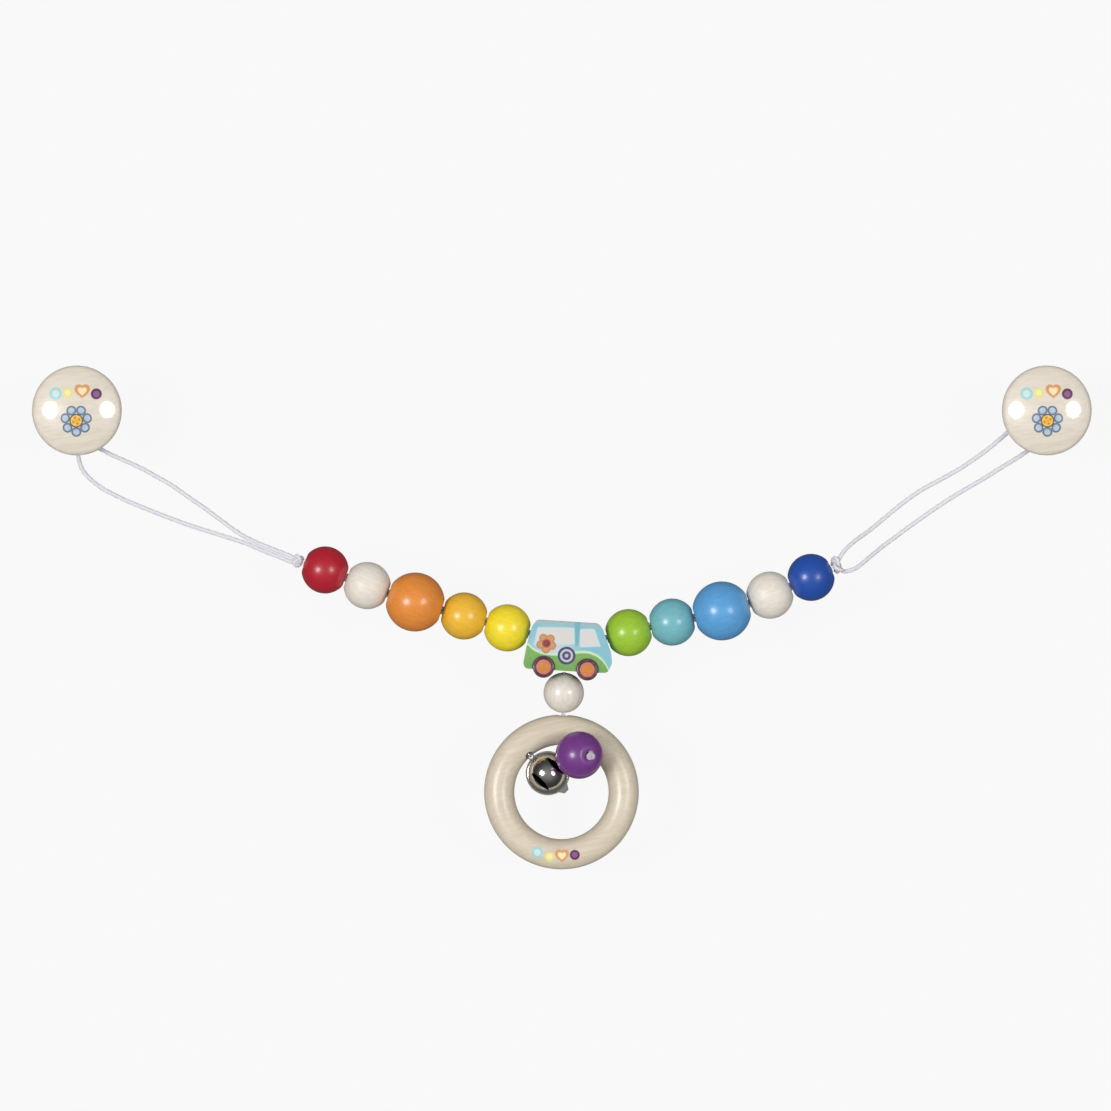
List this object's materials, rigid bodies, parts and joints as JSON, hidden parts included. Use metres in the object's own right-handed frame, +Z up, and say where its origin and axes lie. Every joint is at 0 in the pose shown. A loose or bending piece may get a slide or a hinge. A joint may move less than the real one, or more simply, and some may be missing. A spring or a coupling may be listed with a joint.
{
  "type": "pram_chain_toy",
  "caption": "Wooden pram chain toy lying flat: coloured beads and a painted van on a cord between two disc clips, with a bell and bead on a hanging ring.",
  "frame": {"origin": "centre of the bounding box, on the surface the toy lies on", "axes": "+X to the right along the chain, +Y towards the clips, +Z up from the surface"},
  "size_m": [0.4462, 0.2122, 0.0319],
  "materials": {
    "amber_bead": "gloss",
    "bell_metal": "polished",
    "steel": "satin",
    "cord": "braided",
    "green_bead": "gloss",
    "natural_wood": "satin",
    "plastic": "matte",
    "left_natural_bead": "gloss",
    "light_blue_bead": "gloss",
    "orange_bead": "gloss",
    "purple_bead": "gloss",
    "red_bead": "gloss",
    "right_natural_bead": "gloss",
    "royal_blue_bead": "gloss",
    "turquoise_bead": "gloss",
    "van": "gloss",
    "yellow_bead": "gloss"
  },
  "bodies": {
    "van": {"van": "van", "van_cord": "cord", "pendant_tie": "cord"},
    "left_link_1": {"left_cord_1": "cord"},
    "yellow_bead": {"yellow_bead": "yellow_bead"},
    "left_link_2": {"left_cord_2": "cord"},
    "amber_bead": {"amber_bead": "amber_bead"},
    "left_link_3": {"left_cord_3": "cord"},
    "orange_bead": {"orange_bead": "orange_bead"},
    "left_link_4": {"left_cord_4": "cord"},
    "left_natural_bead": {"left_natural_bead": "left_natural_bead"},
    "left_link_5": {"left_cord_5": "cord"},
    "red_bead": {"red_bead": "red_bead"},
    "left_loop_cord": {"left_knot": "cord", "left_loop": "cord"},
    "left_clip": {"left_base_plate": "steel", "left_hinge_pin": "steel"},
    "left_clip_lever": {"left_lever": "steel", "left_disc": "natural_wood", "left_rivet": "steel", "left_jaw_insert": "plastic"},
    "right_link_1": {"right_cord_1": "cord"},
    "green_bead": {"green_bead": "green_bead"},
    "right_link_2": {"right_cord_2": "cord"},
    "turquoise_bead": {"turquoise_bead": "turquoise_bead"},
    "right_link_3": {"right_cord_3": "cord"},
    "light_blue_bead": {"light_blue_bead": "light_blue_bead"},
    "right_link_4": {"right_cord_4": "cord"},
    "right_natural_bead": {"right_natural_bead": "right_natural_bead"},
    "right_link_5": {"right_cord_5": "cord"},
    "royal_blue_bead": {"royal_blue_bead": "royal_blue_bead"},
    "right_loop_cord": {"right_knot": "cord", "right_loop": "cord"},
    "right_clip": {"right_base_plate": "steel", "right_hinge_pin": "steel"},
    "right_clip_lever": {"right_lever": "steel", "right_disc": "natural_wood", "right_rivet": "steel", "right_jaw_insert": "plastic"},
    "pendant": {"pendant_cord": "cord"},
    "pendant_bead": {"pendant_bead": "natural_wood"},
    "ring_link": {"ring_cord": "cord"},
    "ring": {"wooden_ring": "natural_wood", "screw_eye": "bell_metal"},
    "bell": {"bell_front_shell": "bell_metal", "bell_back_shell": "bell_metal"},
    "clapper": {"bell_clapper": "steel"},
    "dangle": {"dangle_cord": "cord", "dangle_knot": "cord"},
    "purple_bead": {"purple_bead": "purple_bead"}
  },
  "joints": [
    {"name": "left_bend_1", "type": "hinge", "parent": "van", "child": "left_link_1", "pos_m": [-0.01386, -0.00701, 0], "axis": [0, 0, -1], "range_deg": [-8, 8]},
    {"name": "left_bend_2", "type": "hinge", "parent": "left_link_1", "child": "left_link_2", "pos_m": [-0.03199, -0.00167, 0], "axis": [0, 0, -1], "range_deg": [-7.5, 8]},
    {"name": "left_bend_3", "type": "hinge", "parent": "left_link_2", "child": "left_link_3", "pos_m": [-0.0503, 0.00303, 0], "axis": [0, 0, -1], "range_deg": [-8, 7]},
    {"name": "left_bend_4", "type": "hinge", "parent": "left_link_3", "child": "left_link_4", "pos_m": [-0.07313, 0.0101, 0], "axis": [0, 0, -1], "range_deg": [-8, 6]},
    {"name": "left_bend_5", "type": "hinge", "parent": "left_link_4", "child": "left_link_5", "pos_m": [-0.09078, 0.01687, 0], "axis": [0, 0, -1], "range_deg": [-8, 8]},
    {"name": "left_loop_bend", "type": "hinge", "parent": "left_link_5", "child": "left_loop_cord", "pos_m": [-0.10857, 0.02324, 0], "axis": [0, 0, -1], "range_deg": [-15, 15]},
    {"name": "left_clip_swivel", "type": "hinge", "parent": "left_loop_cord", "child": "left_clip", "pos_m": [-0.20425, 0.07483, 0.003], "axis": [0, 0, 1], "range_deg": [-5, 15]},
    {"name": "left_lever_hinge", "type": "hinge", "parent": "left_clip", "child": "left_clip_lever", "pos_m": [-0.20425, 0.09903, 0.0046], "axis": [-1, 0, 0], "range_deg": [0, 45]},
    {"name": "right_bend_1", "type": "hinge", "parent": "van", "child": "right_link_1", "pos_m": [0.01903, -0.00903, 0], "axis": [0, 0, 1], "range_deg": [-5, 8]},
    {"name": "right_bend_2", "type": "hinge", "parent": "right_link_1", "child": "right_link_2", "pos_m": [0.03714, -0.00363, 0], "axis": [0, 0, 1], "range_deg": [-3.5, 8]},
    {"name": "right_bend_3", "type": "hinge", "parent": "right_link_2", "child": "right_link_3", "pos_m": [0.05572, -0.00015, 0], "axis": [0, 0, 1], "range_deg": [-8, 6]},
    {"name": "right_bend_4", "type": "hinge", "parent": "right_link_3", "child": "right_link_4", "pos_m": [0.07887, 0.00579, 0], "axis": [0, 0, 1], "range_deg": [-8, 2]},
    {"name": "right_bend_5", "type": "hinge", "parent": "right_link_4", "child": "right_link_5", "pos_m": [0.09629, 0.01311, 0], "axis": [0, 0, 1], "range_deg": [-8, 8]},
    {"name": "right_loop_bend", "type": "hinge", "parent": "right_link_5", "child": "right_loop_cord", "pos_m": [0.11359, 0.02074, 0], "axis": [0, 0, 1], "range_deg": [-15, 15]},
    {"name": "right_clip_swivel", "type": "hinge", "parent": "right_loop_cord", "child": "right_clip", "pos_m": [0.20215, 0.07483, 0.003], "axis": [0, 0, 1], "range_deg": [-15, 15]},
    {"name": "right_lever_hinge", "type": "hinge", "parent": "right_clip", "child": "right_clip_lever", "pos_m": [0.20425, 0.09903, 0.0046], "axis": [-1, 0, 0], "range_deg": [0, 45]},
    {"name": "pendant_bend", "type": "hinge", "parent": "van", "child": "pendant", "pos_m": [0.00099, -0.02294, 0.0098], "axis": [0, 0, 1], "range_deg": [-4, 4]},
    {"name": "ring_tilt", "type": "hinge", "parent": "pendant", "child": "ring_link", "pos_m": [0.0006, -0.04034, 0.0072], "axis": [1, 0, 0], "range_deg": [-18, 18]},
    {"name": "ring_twist", "type": "hinge", "parent": "ring_link", "child": "ring", "pos_m": [-0.00015, -0.07353, 0.00637], "axis": [0.0227, 0.9997, 0], "continuous": true},
    {"name": "dangle_lift", "type": "hinge", "parent": "ring", "child": "dangle", "pos_m": [0.0003, -0.05368, 0.00637], "axis": [-0.4986, -0.8669, 0], "range_deg": [0, 35]},
    {"name": "bell_swing", "type": "hinge", "parent": "ring", "child": "bell", "pos_m": [-0.01308, -0.05856, 0.0089], "axis": [0, 0, 1], "range_deg": [-20, 0]},
    {"name": "clapper_slide", "type": "slide", "parent": "bell", "child": "clapper", "axis": [0, 0, 1], "range_m": [0, 0.0105]},
    {"name": "yellow_bead_spin", "type": "hinge", "parent": "left_link_1", "child": "yellow_bead", "pos_m": [-0.02293, -0.00434, 0.01], "axis": [-0.9593, 0.2823, 0], "continuous": true},
    {"name": "amber_bead_spin", "type": "hinge", "parent": "left_link_2", "child": "amber_bead", "pos_m": [-0.04115, 0.00068, 0.01], "axis": [-0.9686, 0.2487, 0], "continuous": true},
    {"name": "orange_bead_spin", "type": "hinge", "parent": "left_link_3", "child": "orange_bead", "pos_m": [-0.06172, 0.00656, 0.0125], "axis": [-0.9553, 0.2957, 0], "continuous": true},
    {"name": "left_natural_bead_spin", "type": "hinge", "parent": "left_link_4", "child": "left_natural_bead", "pos_m": [-0.08195, 0.01348, 0.01], "axis": [-0.9336, 0.3584, 0], "continuous": true},
    {"name": "red_bead_spin", "type": "hinge", "parent": "left_link_5", "child": "red_bead", "pos_m": [-0.09967, 0.02006, 0.01], "axis": [-0.9415, 0.3371, 0], "continuous": true},
    {"name": "green_bead_spin", "type": "hinge", "parent": "right_link_1", "child": "green_bead", "pos_m": [0.02809, -0.00633, 0.01], "axis": [0.9583, 0.2857, 0], "continuous": true},
    {"name": "turquoise_bead_spin", "type": "hinge", "parent": "right_link_2", "child": "turquoise_bead", "pos_m": [0.04643, -0.00189, 0.01], "axis": [0.9829, 0.184, 0], "continuous": true},
    {"name": "light_blue_bead_spin", "type": "hinge", "parent": "right_link_3", "child": "light_blue_bead", "pos_m": [0.06729, 0.00282, 0.0125], "axis": [0.9686, 0.2487, 0], "continuous": true},
    {"name": "right_natural_bead_spin", "type": "hinge", "parent": "right_link_4", "child": "right_natural_bead", "pos_m": [0.08758, 0.00945, 0.01], "axis": [0.9219, 0.3875, 0], "continuous": true},
    {"name": "royal_blue_bead_spin", "type": "hinge", "parent": "right_link_5", "child": "royal_blue_bead", "pos_m": [0.10494, 0.01693, 0.01], "axis": [0.915, 0.4035, 0], "continuous": true},
    {"name": "pendant_bead_spin", "type": "hinge", "parent": "pendant", "child": "pendant_bead", "pos_m": [0.0008, -0.03164, 0.0085], "axis": [-0.0224, -0.9888, -0.1478], "continuous": true},
    {"name": "purple_bead_spin", "type": "hinge", "parent": "dangle", "child": "purple_bead", "pos_m": [0.00724, -0.05767, 0.0206], "axis": [0.454, 0, 0.891], "continuous": true}
  ]
}
